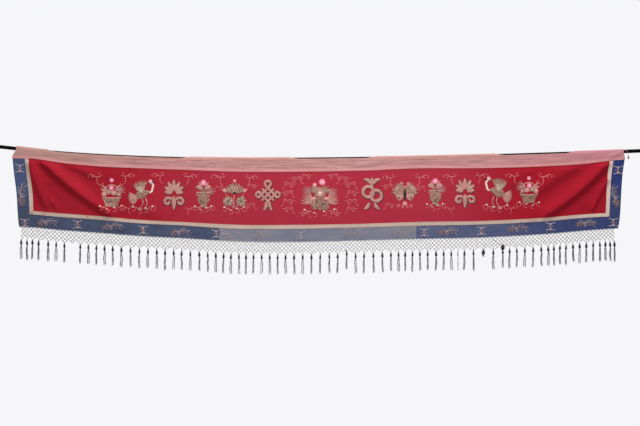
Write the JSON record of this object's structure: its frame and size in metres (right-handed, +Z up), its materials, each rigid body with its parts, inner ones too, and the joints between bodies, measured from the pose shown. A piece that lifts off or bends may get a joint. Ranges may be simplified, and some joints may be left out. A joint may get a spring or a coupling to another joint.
{
  "type": "embroidered banner on a rod",
  "caption": "Long festive cloth valance with a pink heading turned over a black rod, an embroidered red panel, cream ribbon, blue border, and a net fringe with tassels.",
  "frame": {"origin": "on the rod's axis at mid-length", "axes": "+Z up, +X to the right as seen from the front, and the front faces -Y"},
  "size_m": [4.45, 0.054, 0.894],
  "materials": {
    "rod": "black satin lacquer",
    "heading_cloth": "faded pink plain-weave cotton",
    "panel_cloth": "red felted wool with couched thread and satin stitch",
    "ribbon": "cream woven ribbon",
    "border_blue": "blue cloth with stitched sprays",
    "border_faded": "faded grey-blue cloth",
    "border_deep_blue": "deep blue cloth with stitched sprays",
    "fringe": "knotted cotton cord and thread tassels",
    "thread": "pink cotton thread"
  },
  "bodies": {
    "root": {"rod": "rod", "heading": "heading_cloth", "panel": "panel_cloth", "ribbon_left": "ribbon", "ribbon_bottom": "ribbon", "ribbon_right": "ribbon", "border_left": "border_blue", "border_bottom_left": "border_blue", "border_bottom_middle": "border_faded", "border_bottom_right": "border_deep_blue", "border_right": "border_deep_blue", "fringe": "fringe", "loose_thread": "thread"}
  },
  "joints": []
}
